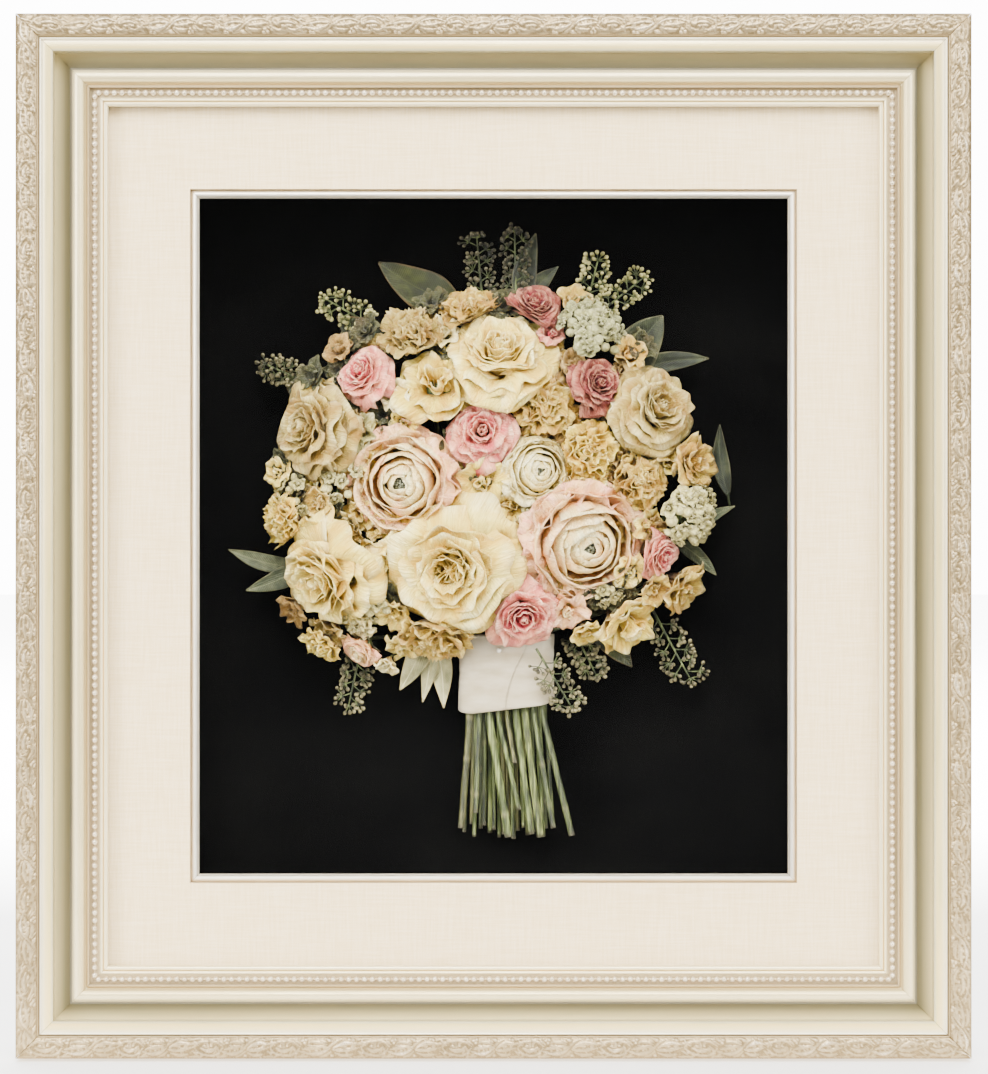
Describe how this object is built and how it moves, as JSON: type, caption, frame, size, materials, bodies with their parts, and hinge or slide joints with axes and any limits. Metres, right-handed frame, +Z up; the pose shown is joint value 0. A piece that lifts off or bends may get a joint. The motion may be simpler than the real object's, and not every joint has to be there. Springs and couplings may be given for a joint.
{
  "type": "preserved bouquet shadow box",
  "caption": "Deep wall-hung shadow box with a carved silver moulding, cream mat, silver fillet and glass over a dried bridal bouquet tied with satin ribbon.",
  "frame": {"origin": "centre of the flat back, where the dust cover lies against the wall", "axes": "+Z up, +X to the right seen from the front, and the front faces -Y"},
  "size_m": [0.611, 0.129, 0.668],
  "materials": {
    "frame_silver": "satin champagne silver leaf over carved wood",
    "fillet_silver": "satin silver leaf",
    "glass": "clear picture glass",
    "mat_board": "cream linen-faced mat board",
    "black_velvet": "deep black, almost without sheen",
    "case_wood": "wood painted matt black",
    "kraft_paper": "brown kraft paper",
    "ribbon_satin": "ivory satin ribbon",
    "petal_cream": "dried cream petals, browner at the edges",
    "petal_pink": "dried dusty pink petals",
    "petal_blush": "dried blush petals around a cream heart",
    "petal_yellow": "dried pale yellow petals",
    "petal_gold": "dried golden tan petals",
    "petal_white": "dried white florets with green bases",
    "leaf_green": "dried olive and grey-green leaves",
    "seed_green": "dried eucalyptus seeds and thin stems"
  },
  "bodies": {
    "root": {"moulding_top": "frame_silver", "fillet_top": "fillet_silver", "case_top": "case_wood", "moulding_right": "frame_silver", "fillet_right": "fillet_silver", "case_right": "case_wood", "moulding_bottom": "frame_silver", "fillet_bottom": "fillet_silver", "case_bottom": "case_wood", "moulding_left": "frame_silver", "fillet_left": "fillet_silver", "case_left": "case_wood", "glass": "glass", "mat": "mat_board", "velvet_backing": "black_velvet", "dust_cover": "kraft_paper", "ribbon_wrap": "ribbon_satin", "rose_cream_top": "petal_cream", "rose_cream_centre": "petal_cream", "rose_cream_left": "petal_cream", "rose_cream_upper_left": "petal_cream", "rose_cream_right": "petal_cream", "carnation_cream_top": "petal_cream", "rose_pink_centre": "petal_pink", "rose_pink_left": "petal_pink", "rose_pink_top": "petal_pink", "rose_pink_right": "petal_pink", "rose_pink_low": "petal_pink", "rose_pink_side": "petal_pink", "ranunculus_blush_left": "petal_blush", "ranunculus_blush_right": "petal_blush", "rose_blush_small": "petal_blush", "carnation_yellow_right": "petal_yellow", "carnation_yellow_left": "petal_yellow", "freesia_yellow_top": "petal_yellow", "freesia_low_right": "petal_yellow", "carnation_gold_centre": "petal_gold", "carnation_gold_right": "petal_gold", "carnation_gold_top": "petal_gold", "carnation_gold_low": "petal_gold", "rose_beige_right": "petal_gold", "lisianthus_beige_right": "petal_gold", "ranunculus_white": "petal_white", "stock_upper_right": "petal_white", "stock_right": "petal_white", "leaf_top_left": "leaf_green", "leaves_upper_right": "leaf_green", "leaf_right_edge": "leaf_green", "leaves_left": "leaf_green", "leaves_drooping": "leaf_green", "leaves_low_right": "leaf_green", "eucalyptus_top_left": "seed_green", "eucalyptus_left": "seed_green", "eucalyptus_top_centre": "seed_green", "eucalyptus_top_right": "seed_green", "eucalyptus_far_right": "seed_green", "eucalyptus_low_left": "seed_green", "eucalyptus_on_ribbon": "seed_green", "eucalyptus_low_centre": "seed_green", "eucalyptus_low_right": "seed_green"}
  },
  "joints": []
}
